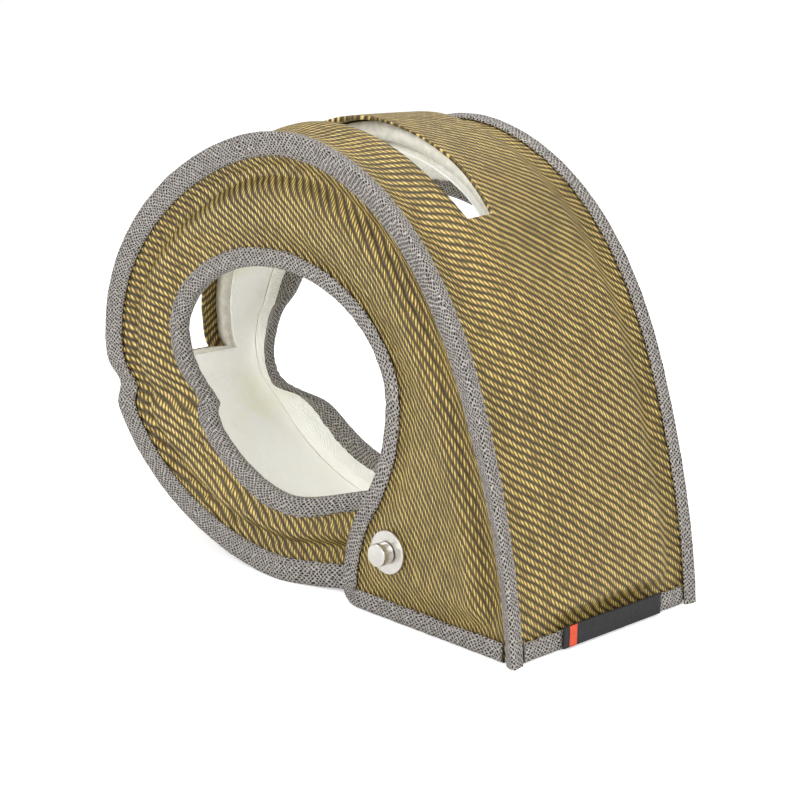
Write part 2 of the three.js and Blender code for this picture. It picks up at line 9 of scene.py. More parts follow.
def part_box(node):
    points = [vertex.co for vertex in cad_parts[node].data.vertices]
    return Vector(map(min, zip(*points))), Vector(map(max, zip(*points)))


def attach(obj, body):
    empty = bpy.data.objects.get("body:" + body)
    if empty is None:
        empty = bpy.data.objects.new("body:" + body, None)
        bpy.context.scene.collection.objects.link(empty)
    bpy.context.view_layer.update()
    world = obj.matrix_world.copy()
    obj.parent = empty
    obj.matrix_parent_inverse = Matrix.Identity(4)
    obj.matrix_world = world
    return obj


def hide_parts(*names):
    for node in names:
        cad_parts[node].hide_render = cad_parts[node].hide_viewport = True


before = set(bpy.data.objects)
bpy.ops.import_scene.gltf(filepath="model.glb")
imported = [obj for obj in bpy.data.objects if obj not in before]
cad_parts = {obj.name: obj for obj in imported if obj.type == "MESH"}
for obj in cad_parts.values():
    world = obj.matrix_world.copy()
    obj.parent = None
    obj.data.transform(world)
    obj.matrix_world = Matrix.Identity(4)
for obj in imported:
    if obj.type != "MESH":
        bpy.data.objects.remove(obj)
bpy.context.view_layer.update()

# Outline, depth and free edges, as in the solids.
FOOT_REACH = 147
SHOULDER = (124, 89)
TOP_REACH = 24
HEIGHT = 173
LEFT_REACH = 82
LEFT_HEIGHT = 80
GROUND_REACH = 26
TAIL_REACH = 74
TAIL_LIFT = 2.5
FOOT_DEPTH = 106
LEFT_DEPTH = 88
TAIL_DEPTH = 74
TAIL_TUCK = 11.5
TUCK_SPAN = (4.9, 5.75)
NARROWING = (2.2, 3.2)
FOOT_LEAN = 3.2
SHOULDER_FLARE = 10.4
SHOULDER_BEND = 29.7
CROWN_DROP = 6.8
CROWN_BEND = 14.8
TOP_BEND = 40
LEFT_BEND = 54.5
GROUND_BEND = 51
FLAP_REACH = 59
FLAP_CORNER = 8
FRONT_BORE = dict(right=78, right_height=80, top_reach=20, top=121, left=-35, left_height=86,
                  ground_reach=28, bottom=34, tail=44.5)
BACK_BORE = dict(right=76, right_height=84, top_reach=8, top=139, left=-60, left_height=84,
                 ground_reach=16, bottom=27, tail=40)

# Layers, tapes and the drops below the ridge of a seam.
SHELL = 1.2
LINER = 1.0
QUILT = 10.5
GAP = 0.3
CORE_GAP = 0.8
TAPE = 1.0
TAPE_GAP = 0.45
TAPE_END_GAP = 2
EDGE_TAPE_WIDTH = 7.5
HEM_TAPE_WIDTH = 8
EDGE_INSET = TAPE + 0.4
SEAM_LEG_AT_FOOT = 6
SEAM_LEG = 10
BAND_LEG = 6.5
SEAM_DROP = 1.5
TAPE_EDGE_DROP = 2.9
VALLEY_DROP = 4
VALLEY_WIDTH = 5
PILLOW_RISE = 10
PANEL_CREST = 0.8
BAND_CREST = -2
BAND_CREST_ON_GROUND = 0.4
CREASE_DEPTH = 3
BAND_CREASE_DEPTH = 2
CREASE_WIDTH = 6
BACK_CREASE_DEPTH = 6
BACK_CREASE_WIDTH = 16
FRONT_EDGE_LEAN = 2
BACK_EDGE_LEAN = 14
LEAN_WIDTH = 18
CREASE_SHARE_OUTLINE = 0.16
CREASE_SHARE_EDGE = 0.42
HEM_SHARE = 0.1
PINCHED = TAPE_EDGE_DROP + SHELL + GAP + LINER
LEAN_START = QUILT + GAP
TAPE_MARGIN = 1
SEAM_STRETCH = 15
NARROW_PILLOW = (20, 45)
BAND_LEG_LIFT = 0.4
CREST_SIDE = 0.8
SIDE_RISE_STRETCH = 1.3

# Slot, stud and tab.
SLOT_WIDTH = 20.5
SLOT_FROM_FRONT = 27.5
SLOT_DRIFT = 7
LINER_SETBACK = 6
SLOT_END_WIDTH = 5
SLOT_TAPER = 0.22
SLOT_START = 4 / 3
SLOT_END = 3.75
STUD = (84, 27)
STUD_POST_RADIUS = 4.3
STUD_SHANK_RADIUS = 2
STUD_PROUD = 5.6
WASHER_RADIUS = 8.2
WASHER_THICKNESS = 1.2
CLINCH_WASHER_RADIUS = 5.5
CLINCH_HEIGHT = 1.2
TAB_LENGTH = 56
TAB_HEIGHT = 8
TAB_THICKNESS = 0.8
TAB_OFFSET = 2

MM = 0.001
# The solids' origin lies under the middle of the blanket, so the drum's axis is this far from it.
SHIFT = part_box("front_seam_tape")[1][0] / MM - FOOT_REACH


def ease(share):
    return share * share * (3 - 2 * share)


def smoothstep(x, low, high):
    return ease(np.clip((np.asarray(x, float) - low) / (high - low), 0, 1))


def lerp(a, b, share):
    return a + (b - a) * share


def outline_curves():
    gx = lerp(GROUND_REACH, TAIL_REACH, 0.35)
    hx = lerp(GROUND_REACH, TAIL_REACH, 0.7)
    sx, sz = SHOULDER
    left, ground = -LEFT_REACH, GROUND_REACH
    return np.array([
        [(FOOT_REACH, 0), (FOOT_REACH - FOOT_LEAN, sz * 0.34), (sx + SHOULDER_FLARE, sz * 0.7), (sx, sz)],
        [(sx, sz), (sx - SHOULDER_BEND, HEIGHT - CROWN_DROP),
         (TOP_REACH + CROWN_BEND, HEIGHT), (TOP_REACH, HEIGHT)],
        [(TOP_REACH, HEIGHT), (TOP_REACH - TOP_BEND, HEIGHT),
         (left, LEFT_HEIGHT + LEFT_BEND), (left, LEFT_HEIGHT)],
        [(left, LEFT_HEIGHT), (left, LEFT_HEIGHT * 0.41), (ground - GROUND_BEND, 0), (ground, 0)],
        [(ground, 0), (gx, 0), (hx, TAIL_LIFT), (TAIL_REACH, TAIL_LIFT)],
    ], float)


def edge_curves(b):
    right, top, left, bottom = b["right"], b["top"], b["left"], b["bottom"]
    rz, tx, lz = b["right_height"], b["top_reach"], b["left_height"]
    gx, tail = b["ground_reach"], b["tail"]
    return np.array([
        [(FLAP_REACH, FLAP_CORNER), (FLAP_REACH, rz * 0.56), (right, rz * 0.52), (right, rz)],
        [(right, rz), (right, lerp(rz, top, 0.5)), (lerp(right, tx, 0.4), top), (tx, top)],
        [(tx, top), (lerp(tx, left, 0.56), top), (left, lerp(lz, top, 0.5)), (left, lz)],
        [(left, lz), (left, lerp(lz, bottom, 0.3)), (lerp(gx, left, 0.56), bottom), (gx, bottom)],
        [(gx, bottom), (lerp(gx, TAIL_REACH, 0.3), bottom),
         (lerp(gx, TAIL_REACH, 0.6), tail - 2), (TAIL_REACH, tail)],
    ], float)


def along(curves, t, crease_share, start_share):
    """Points of the curves at places t: 0 foot, 1 shoulder, 2 top, 3 left, 4 crease, 5 ground, 6 tail."""
    t = np.atleast_1d(np.asarray(t, float))
    s = np.where(t < 1, np.maximum(0, (t - start_share) / (1 - start_share)), t)
    s = np.where((t > 3) & (t <= 4), 3 + (t - 3) * crease_share, s)
    s = np.where((t > 4) & (t <= 5), 3 + lerp(crease_share, 1, t - 4), s)
    s = np.where(t > 5, t - 1, s)
    n = np.clip(np.floor(s).astype(int), 0, len(curves) - 1)
    u = (s - n)[:, None]
    c = curves[n]
    v = 1 - u
    return v ** 3 * c[:, 0] + 3 * v ** 2 * u * c[:, 1] + 3 * v * u ** 2 * c[:, 2] + u ** 3 * c[:, 3]


OUTLINE = outline_curves()
FRONT_EDGE = edge_curves(FRONT_BORE)
BACK_EDGE = edge_curves(BACK_BORE)


def plain_outline(t):
    return along(OUTLINE, t, CREASE_SHARE_OUTLINE, 0)


CREASE_POINT = plain_outline(4)[0]


def unit(v):
    return v / np.maximum(np.linalg.norm(v, axis=-1, keepdims=True), 1e-9)


def crease_bump(t, width):
    t = np.atleast_1d(t)
    far = np.linalg.norm(plain_outline(t) - CREASE_POINT, axis=1)
    return np.where((t < 2.5) | (t > 5), 0, np.exp(-(far / width) ** 2))


def inward_at(t):
    t = np.atleast_1d(t)
    inward = unit(along(FRONT_EDGE, t, CREASE_SHARE_EDGE, HEM_SHARE) - plain_outline(t))
    inward[:, 1] *= smoothstep(t, 0, HEM_SHARE)
    return unit(inward)


def outline_at(t):
    t = np.atleast_1d(t)
    return plain_outline(t) + inward_at(t) * (BAND_CREASE_DEPTH * crease_bump(t, CREASE_WIDTH))[:, None]


def front_y(t):
    tuck = TAIL_TUCK * smoothstep(t, *TUCK_SPAN)
    return -FOOT_DEPTH / 2 + tuck + CREASE_DEPTH * crease_bump(t, CREASE_WIDTH)


def back_y(t):
    narrowed = lerp(FOOT_DEPTH, LEFT_DEPTH, smoothstep(t, *NARROWING))
    depth = lerp(narrowed, TAIL_DEPTH + TAIL_TUCK, smoothstep(t, NARROWING[1], 5))
    return -FOOT_DEPTH / 2 + depth - BACK_CREASE_DEPTH * crease_bump(t, BACK_CREASE_WIDTH)


def seam_leg_at(t):
    return lerp(SEAM_LEG_AT_FOOT, SEAM_LEG, smoothstep(t, 0.3, 1.6))


def arc_lengths(points):
    steps = np.linalg.norm(np.diff(points, axis=0), axis=1)
    return np.concatenate([[0], np.cumsum(steps)])


def even_places(count, first):
    """Places evenly spread along the outline, from place first to the tail."""
    t = np.linspace(first, 6, 6000)
    length = arc_lengths(plain_outline(t))
    return np.interp(np.linspace(0, length[-1], count), length, t)


# The panels and the band begin just above the ground, where the outline is this high.
_t = np.linspace(0, 0.2, 400)
FIRST = float(np.interp(EDGE_INSET, plain_outline(_t)[:, 1], _t))
ROWS = 380
PLACES = even_places(ROWS, FIRST)
REACH = arc_lengths(plain_outline(PLACES))


def bound_share(t):
    point = outline_at(t)
    from_foot = np.where(t < 2, point[:, 1], 1e6)
    from_tail = np.where(t > 4.5, np.linalg.norm(point - outline_at(6), axis=1), 1e6)
    near = np.minimum(from_foot, from_tail)
    return 1 - smoothstep(near, HEM_TAPE_WIDTH + 1, HEM_TAPE_WIDTH + PILLOW_RISE)


def noise(x, y, seed):
    """Smooth repeatable noise, about -1 to 1, from a few crossing waves."""
    rng = np.random.default_rng(seed)
    total = 0
    for _ in range(7):
        angle = rng.uniform(0, 2 * math.pi)
        stretch = rng.uniform(0.6, 1.7)
        phase = rng.uniform(0, 2 * math.pi)
        way = x * math.cos(angle) + y * math.sin(angle)
        total = total + np.sin(way * stretch * 2 * math.pi + phase)
    return total / 3.2


def volume_of(points, faces):
    """Six times the volume that the faces enclose."""
    total = 0
    for corners in (3, 4):
        some = np.array([f for f in faces if len(f) == corners], int).reshape(-1, corners)
        for k in range(1, corners - 1):
            a, b, c = points[some[:, 0]], points[some[:, k]], points[some[:, k + 1]]
            total += float(np.sum(a * np.cross(b, c)))
    return total


def piece_from_mesh(name, vertices, faces, uv, material):
    mesh = bpy.data.meshes.new(name)
    points = np.asarray(vertices, float).reshape(-1, 3).copy()
    points[:, 0] += SHIFT
    mesh.from_pydata((points * MM).tolist(), [], [list(map(int, f)) for f in faces])
    if uv is not None:
        layer = mesh.uv_layers.new(name="cloth")
        loops = np.empty(len(mesh.loops), dtype=np.int32)
        mesh.loops.foreach_get("vertex_index", loops)
        layer.data.foreach_set("uv", (np.asarray(uv, float) * MM * 10)[loops].ravel())
    if volume_of(points, faces) < 0:
        mesh.flip_normals()
    mesh.validate()
    mesh.update()
    mesh.polygons.foreach_set("use_smooth", [True] * len(mesh.polygons))
    piece = bpy.data.objects.new(name, mesh)
    bpy.context.scene.collection.objects.link(piece)
    mesh.materials.append(material)
    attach(piece, "root")
    return piece


# Steps to the neighbour cell and the two corners of the side shared with it.
CELL_SIDES = ((0, -1, (0, 0), (1, 0)), (1, 0, (1, 0), (1, 1)),
              (0, 1, (1, 1), (0, 1)), (-1, 0, (0, 1), (0, 0)))


def grid_piece(name, outer, inner, uv, material, hole=None):
    """A closed layer between two grids of points, with a hole where cells are open."""
    rows, columns = outer.shape[:2]
    open_cell = np.zeros((rows - 1, columns - 1), bool) if hole is None else hole
    index = np.arange(rows * columns).reshape(rows, columns)
    top = index
    under = index + rows * columns
    i, j = np.nonzero(~open_cell)
    faces = [np.stack([top[i, j], top[i + 1, j], top[i + 1, j + 1], top[i, j + 1]], 1),
             np.stack([under[i, j + 1], under[i + 1, j + 1], under[i + 1, j], under[i, j]], 1)]
    solid = np.zeros((rows + 1, columns + 1), bool)
    solid[1:-1, 1:-1] = ~open_cell
    walls = []
    for di, dj, a, b in CELL_SIDES:
        edge = ~solid[i + 1 + di, j + 1 + dj]
        p, q = i[edge], j[edge]
        walls.append(np.stack([top[p + b[0], q + b[1]], top[p + a[0], q + a[1]],
                               under[p + a[0], q + a[1]], under[p + b[0], q + b[1]]], 1))
    faces = np.concatenate(faces + walls)
    used = np.unique(faces)
    renumber = np.full(2 * rows * columns, -1)
    renumber[used] = np.arange(len(used))
    vertices = np.concatenate([outer.reshape(-1, 3), inner.reshape(-1, 3)])[used]
    both = np.concatenate([uv.reshape(-1, 2), uv.reshape(-1, 2)])[used]
    return piece_from_mesh(name, vertices, renumber[faces], both, material)


def sweep_piece(name, rings, uv, material):
    """A closed bar through like rings, with flat ends."""
    rows, count = rings.shape[:2]
    index = np.arange(rows * count).reshape(rows, count)
    after = np.roll(index, -1, axis=1)
    quads = np.stack([index[:-1], after[:-1], after[1:], index[1:]], -1).reshape(-1, 4)
    faces = [list(q) for q in quads] + [list(index[0][::-1]), list(index[-1])]
    return piece_from_mesh(name, rings.reshape(-1, 3), faces, uv.reshape(-1, 2), material)


def stop_values(stops, values, numbers, smooth):
    """Positions between stops, and values that run softly from stop to stop."""
    n = np.clip(np.floor(numbers).astype(int), 0, stops.shape[1] - 2)
    share = numbers - n
    position = lerp(stops[:, n], stops[:, n + 1], share)
    soft = np.where(np.isin(n, smooth), ease(share), share)
    return position, lerp(values[:, n], values[:, n + 1], soft)


def column_numbers(counts):
    """Numbers from stop to stop, with so many columns between each two."""
    steps = [np.linspace(k, k + 1, count, endpoint=False) for k, count in enumerate(counts)]
    return np.concatenate(steps + [[len(counts)]])


class SidePanel:
    """A side panel: its seam lies on the outline, its free edge runs along the flap and the bore."""

    def __init__(self, edge, ridge_y, facing, edge_lean):
        self.edge, self.ridge_y, self.facing, self.edge_lean = edge, ridge_y, facing, edge_lean

    def edge_points(self, t):
        """Points of the free edge and the directions in which its tape reaches in."""
        t = np.atleast_1d(t)
        points = along(self.edge, t, CREASE_SHARE_EDGE, HEM_SHARE)
        after = np.minimum(np.maximum(t, HEM_SHARE + 1e-4) + 1e-3, 6)
        before = np.maximum(t, HEM_SHARE + 2e-3) - 1e-3
        ahead = along(self.edge, after, CREASE_SHARE_EDGE, HEM_SHARE)
        behind = along(self.edge, before, CREASE_SHARE_EDGE, HEM_SHARE)
        heading = unit(ahead - behind)
        inward = np.stack([heading[:, 1], -heading[:, 0]], 1)
        ruling = unit(self.turn_point(outline_at(t), t, points) - points)
        inward = unit(lerp(inward, ruling, smoothstep(t, 0.6, 1.6)[:, None]))
        turn = np.clip((t - FIRST) / (HEM_SHARE - FIRST), 0, 1) * math.pi / 2
        round_off = FLAP_CORNER * (1 - np.stack([np.sin(turn), np.cos(turn)], 1))
        corner = np.array([FLAP_REACH, 0]) + round_off
        at_corner = (t < HEM_SHARE)[:, None]
        to_centre = unit(np.array([FLAP_REACH + FLAP_CORNER, FLAP_CORNER]) - corner)
        return np.where(at_corner, corner, points), np.where(at_corner, to_centre, inward)

    @staticmethod
    def turn_point(start, t, goal):
        stretch = np.minimum(SEAM_STRETCH, np.linalg.norm(start - goal, axis=1) / 2)
        return start + inward_at(t) * stretch[:, None]

    def lay_out(self, t):
        points, inward = self.edge_points(t)
        self.t = t
        self.start = outline_at(t)
        goal = points + inward * EDGE_INSET
        turn = self.turn_point(self.start, t, goal)
        self.stretch = np.linalg.norm(turn - self.start, axis=1)
        self.heading = unit(goal - turn)
        self.length = self.stretch + np.linalg.norm(goal - turn, axis=1)
        slant = np.clip(np.abs(np.sum(self.heading * inward, 1)), 0.5, 1)
        w = self.length
        self.lean = self.edge_lean * crease_bump(t, LEAN_WIDTH)
        self.slope = self.lean / (w - LEAN_START)
        self.level = 1 / np.hypot(1, self.slope)
        bound = (EDGE_TAPE_WIDTH * self.level + TAPE_MARGIN - EDGE_INSET) / slant
        leg = np.minimum(seam_leg_at(t), w * 0.36)
        valley = np.minimum(leg + VALLEY_WIDTH, w * 0.5)
        crest = np.minimum(valley + PILLOW_RISE, w * 0.56)
        tape_edge = w - bound
        knee = np.maximum(tape_edge - PILLOW_RISE, crest + 0.5)
        self.stops = np.stack([0 * w, leg, valley, crest, knee, tape_edge, w], 1)
        share = bound_share(t)
        full = lerp(TAPE_EDGE_DROP, PANEL_CREST, smoothstep(w, *NARROW_PILLOW))
        bound_drop = 0 * w + TAPE_EDGE_DROP
        open_drops = np.stack([0 * w + SEAM_DROP, bound_drop, 0 * w + VALLEY_DROP, full, full,
                               bound_drop, bound_drop], 1)
        self.drops = lerp(open_drops, TAPE_EDGE_DROP, share[:, None])
        self.drops[:, 0] = SEAM_DROP
        self.backs = np.stack([lerp(QUILT, PINCHED, share)] * 5 + [0 * w + PINCHED] * 2, 1)

    def grid(self, numbers, depth_of, relief=None):
        """Points of a layer: depth_of(outer, inner) gives its depth below the ridge."""
        position, outer = stop_values(self.stops, self.drops, numbers, (2, 4))
        _, inner = stop_values(self.stops, self.backs, numbers, (4,))
        depth = depth_of(outer, inner)
        miter = depth[:, :1] + GAP * 0.6
        from_seam = np.maximum(position, miter + np.arange(len(numbers)) * 0.05)
        near = np.minimum(from_seam, self.stretch[:, None])
        far = np.maximum(from_seam - self.stretch[:, None], 0)
        flat = self.start[:, None] + inward_at(self.t)[:, None] * near[..., None]
        flat = flat + self.heading[:, None] * far[..., None]
        flat[..., 1] = np.maximum(flat[..., 1], EDGE_INSET)
        if relief is not None:
            depth = depth - relief(flat, from_seam, self.length[:, None] - from_seam)
        leaning = np.maximum(from_seam - LEAN_START, 0) * self.slope[:, None]
        y = self.ridge_y(self.t)[:, None] - self.facing * (depth + leaning)
        return np.stack([flat[..., 0], y, flat[..., 1]], -1), flat


def slot_edges(t):
    drift = smoothstep(t, 2, 3.2) - 2 * smoothstep(t, 4, 5)
    middle = SLOT_FROM_FRONT + SLOT_WIDTH / 2 + SLOT_DRIFT * drift
    opened = smoothstep(t, SLOT_START - SLOT_TAPER, SLOT_START + SLOT_TAPER)
    half = lerp(SLOT_END_WIDTH, SLOT_WIDTH, opened) / 2
    return middle - half, middle + half


def band_stops(t):
    w = back_y(t) - front_y(t)
    valley = BAND_LEG + VALLEY_WIDTH
    near, far = slot_edges(t)
    return np.stack([0 * w, 0 * w + BAND_LEG, 0 * w + valley, near, far,
                     w - valley - PILLOW_RISE * SIDE_RISE_STRETCH, w - valley, w - BAND_LEG, w], 1)


def band_drops(t):
    crest = lerp(BAND_CREST, BAND_CREST_ON_GROUND, smoothstep(t, 3.7, 4.3))
    flat = 0 * t
    seam, leg, edge = flat + SEAM_DROP, flat + TAPE_EDGE_DROP - BAND_LEG_LIFT, flat + TAPE_EDGE_DROP
    side = crest * CREST_SIDE
    open_drops = np.stack([seam, leg, edge, side, crest, side, edge, leg, seam], 1)
    drops = lerp(open_drops, TAPE_EDGE_DROP, bound_share(t)[:, None])
    drops[:, 0] = drops[:, -1] = SEAM_DROP
    return drops


def soft_profile(stops, values, position, smooth):
    """Values at the positions, running softly from stop to stop."""
    n = np.sum(position[..., None] >= stops[:, None, 1:-1], -1)
    low, high = np.take_along_axis(stops, n, 1), np.take_along_axis(stops, n + 1, 1)
    share = np.clip((position - low) / np.maximum(high - low, 1e-6), 0, 1)
    share = np.where(np.isin(n, smooth), ease(share), share)
    return lerp(np.take_along_axis(values, n, 1), np.take_along_axis(values, n + 1, 1), share)


def band_grid(t, numbers, depth_of, relief=None, widen=0):
    stops = band_stops(t)
    wide = stops.copy()
    wide[:, 3] -= widen
    wide[:, 4] += widen
    wide[:, 5] = np.maximum(wide[:, 5], wide[:, 4] + 1)
    position, _ = stop_values(wide, wide, numbers, ())
    outer = soft_profile(stops, band_drops(t), position, (2, 3, 4, 5))
    inner = lerp(QUILT, PINCHED, bound_share(t))[:, None] + 0 * outer
    depth = depth_of(outer, inner)
    miter = depth[:, :1] + GAP * 0.6
    w = (back_y(t) - front_y(t))[:, None]
    order = np.arange(len(numbers))
    from_front = np.clip(position, miter + order * 0.05, w - miter - order[::-1] * 0.05)
    y = front_y(t)[:, None] + from_front
    if relief is not None:
        run = arc_lengths(plain_outline(t))[:, None] + 0 * y
        depth = depth - relief(run, y, from_front, w - from_front)
    spot = outline_at(t)[:, None] + inward_at(t)[:, None] * depth[..., None]
    spot[..., 1] = np.maximum(spot[..., 1], 0.4)
    return np.stack([spot[..., 0], y, spot[..., 1]], -1), from_front


# Woven surface: folds and gathers that the sewing leaves in the cloth, in millimetres of height.
PUCKERED = (2.6, 3.4)
PUCKER_HEIGHT = 0.5
PUCKER_GROWTH = 1.1
SEAM_PUCKERS = dict(pitch=5.5, reach=8.0)
EDGE_PUCKERS = dict(pitch=6.0, height=0.5, reach=6.0)
BAND_PUCKERS = dict(pitch=8.0, height=0.25, reach=8.0)
PANEL_SWELL, PANEL_SWELL_LENGTH = 0.6, 80
BAND_SWELL, BAND_SWELL_LENGTH = 0.5, 110
SEAM_FOLD = 1.9
FOLD_FROM_LEG, FOLD_WIDTH = 5, 3.5
FOLD_CREST, FOLD_CREST_FROM_LEG, FOLD_CREST_WIDTH = 0.7, 13, 6


def gathers(run, from_seam, seed, pitch, height, reach):
    """Short ripples square to a seam, that die out away from it."""
    wave = noise(run / (pitch * 1.6), from_seam / 60, seed)
    return height * wave * np.exp(-((from_seam - 9) / reach) ** 2)


def panel_relief(t, side):
    run = REACH[:, None]

    def relief(flat, from_seam, from_edge):
        leg = seam_leg_at(t)[:, None]
        puckers = (PUCKER_HEIGHT + PUCKER_GROWTH * smoothstep(t, *PUCKERED))[:, None]
        ripple = (gathers(run, from_seam, 11 + side, height=puckers, **SEAM_PUCKERS)
                  + gathers(run, from_edge, 23 + side, **EDGE_PUCKERS))
        x, z = flat[..., 0] / PANEL_SWELL_LENGTH, flat[..., 1] / PANEL_SWELL_LENGTH
        swell = PANEL_SWELL * noise(x, z, 5 + side)
        crest = FOLD_CREST * np.exp(-((from_seam - leg - FOLD_CREST_FROM_LEG) / FOLD_CREST_WIDTH) ** 2)
        fold = SEAM_FOLD * (crest - np.exp(-((from_seam - leg - FOLD_FROM_LEG) / FOLD_WIDTH) ** 2))
        free = smoothstep(from_seam, leg - 1, leg + 5)
        free = free * smoothstep(from_edge, EDGE_TAPE_WIDTH, EDGE_TAPE_WIDTH + 6)
        return (ripple + swell + fold) * free * (1 - bound_share(t)[:, None])

    return relief


def band_relief(run, y, from_front, from_back):
    edge = np.minimum(from_front, from_back)
    ripple = gathers(run, edge, 31, **BAND_PUCKERS)
    swell = BAND_SWELL * noise(run / BAND_SWELL_LENGTH, y / BAND_SWELL_LENGTH, 7)
    return (ripple + swell) * smoothstep(edge, 4, 14)


# Materials.
def shader(name):
    material = bpy.data.materials.new(name)
    material.use_nodes = True
    tree = material.node_tree
    tree.nodes.clear()
    out = tree.nodes.new("ShaderNodeOutputMaterial")
    surface = tree.nodes.new("ShaderNodeBsdfPrincipled")
    tree.links.new(surface.outputs[0], out.inputs[0])
    return material, tree, surface


class Graph:
    """Short names for the nodes that the materials use."""

    def __init__(self, tree):
        self.tree = tree

    def feed(self, socket, value):
        if isinstance(value, bpy.types.NodeSocket):
            self.tree.links.new(value, socket)
        else:
            socket.default_value = value

    def math(self, kind, a, b=0.0, c=0.0):
        node = self.tree.nodes.new("ShaderNodeMath")
        node.operation = kind
        for socket, value in zip(node.inputs, (a, b, c)):
            self.feed(socket, value)
        return node.outputs[0]

    def noise(self, vector, scale, detail=3.0, rough=0.6):
        node = self.tree.nodes.new("ShaderNodeTexNoise")
        self.feed(node.inputs["Vector"], vector)
        node.inputs["Scale"].default_value = scale
        node.inputs["Detail"].default_value = detail
        node.inputs["Roughness"].default_value = rough
        return node.outputs[0]

    def ramp(self, value, stops):
        node = self.tree.nodes.new("ShaderNodeValToRGB")
        self.feed(node.inputs[0], value)
        elements = node.color_ramp.elements
        while len(elements) < len(stops):
            elements.new(0.5)
        for element, (place, color) in zip(elements, stops):
            element.position = place
            element.color = (*color, 1)
        return node.outputs[0]

    def cloth(self):
        """Place on the flat cloth, in millimetres."""
        node = self.tree.nodes.new("ShaderNodeUVMap")
        node.uv_map = "cloth"
        split = self.tree.nodes.new("ShaderNodeSeparateXYZ")
        self.feed(split.inputs[0], node.outputs[0])
        return [self.math("MULTIPLY", split.outputs[k], 100.0) for k in (0, 1)]

    def place(self):
        return self.tree.nodes.new("ShaderNodeTexCoord").outputs["Object"]

    def bump(self, height, strength, distance):
        node = self.tree.nodes.new("ShaderNodeBump")
        node.inputs["Strength"].default_value = strength
        node.inputs["Distance"].default_value = distance
        self.feed(node.inputs["Height"], height)
        return node.outputs[0]


def hexa(code):
    """A display colour, such as "8f7a45", as linear values."""
    parts = [int(code[k:k + 2], 16) / 255 for k in (0, 2, 4)]
    return tuple(c / 12.92 if c <= 0.04045 else ((c + 0.055) / 1.055) ** 2.4 for c in parts)


# The twill in millimetres, and how much the panels' cloth is pulled out of true.
WALE = 2.7
FLOAT_LENGTH = 2.0
BIAS_BEND = 0.0033
TAPE_PITCH = (1.35, 1.2)
# Mesh tape colours from gap to crown: the dark end is painted shade.
TAPE_SHADES = [(0.42, hexa("0d0c0c")), (0.6, hexa("4c4845")), (0.78, hexa("827d78")), (1.0, hexa("bab4ad"))]
LINER_PITCH = 0.9
LINER_SHADES = [(0.3, hexa("ecead9")), (0.5, hexa("f9f8f1")), (0.8, hexa("fdfcf9"))]
# Painted light: how strongly the liner glows, though it is no lamp.
LINER_PAINTED_GLOW = 0.2


def twill_material(name, angle, slant, bend, shades, rough):
    """Twill: raised wales on a slant, each made of short steep floats of a glossy mineral yarn, coloured with
    painted shade in the grooves and painted highlights on the floats.
    """
    material, tree, surface = shader(name)
    g = Graph(tree)
    u, v = g.cloth()
    wobble = g.math("MULTIPLY", g.math("SUBTRACT", g.noise(g.place(), 70.0, 2.0), 0.5), 2.2)
    pull = g.math("MULTIPLY", g.math("MULTIPLY", u, u), bend)
    pulled = g.math("MULTIPLY", g.math("ADD", v, pull), -math.cos(angle))
    across = g.math("ADD", g.math("MULTIPLY_ADD", u, math.sin(angle), pulled), wobble)
    length = g.math("MULTIPLY_ADD", u, math.cos(angle), g.math("MULTIPLY", v, math.sin(angle)))
    wale = g.math("DIVIDE", across, WALE)
    row = g.math("FLOOR", wale)
    ridge = g.math("POWER", g.math("SINE", g.math("MULTIPLY", g.math("FRACT", wale), math.pi)), 1.5)
    run = g.math("DIVIDE", g.math("MULTIPLY_ADD", across, slant, length), FLOAT_LENGTH)
    strand = g.math("POWER", g.math("SINE", g.math("MULTIPLY", g.math("FRACT", run), math.pi)), 1.4)
    height = g.math("MULTIPLY", ridge, g.math("MULTIPLY_ADD", strand, 0.8, 0.2))
    cell = tree.nodes.new("ShaderNodeCombineXYZ")
    g.feed(cell.inputs[0], row)
    g.feed(cell.inputs[1], g.math("FLOOR", run))
    fleck = tree.nodes.new("ShaderNodeTexWhiteNoise")
    g.feed(fleck.inputs["Vector"], cell.outputs[0])
    patch = g.math("SUBTRACT", g.noise(g.place(), 30.0, 3.0), 0.5)
    fibre = g.noise(g.place(), 1500.0, 1.0)
    # Painted shade and highlight: by their height, the grooves between wales darken to near black and the
    # raised floats brighten to pale gold. The flecks, patches and fibres are the yarn's own uneven tone.
    tone_with_painted_shade = g.math("MULTIPLY", height, g.math("MULTIPLY_ADD", fleck.outputs[0], 0.3, 0.6))
    tone_with_painted_shade = g.math("ADD", g.math("MULTIPLY_ADD", fibre, 0.3, tone_with_painted_shade), g.math("MULTIPLY", patch, 0.2))
    g.feed(surface.inputs["Base Color"], g.ramp(tone_with_painted_shade, shades))
    g.feed(surface.inputs["Roughness"], g.math("MULTIPLY_ADD", height, -0.14, rough + 0.14))
    surface.inputs["Metallic"].default_value = 0.3
    surface.inputs["Specular IOR Level"].default_value = 0.8
    g.feed(surface.inputs["Normal"], g.bump(g.math("MULTIPLY_ADD", fibre, 0.1, height), 0.9, 0.0006))
    return material


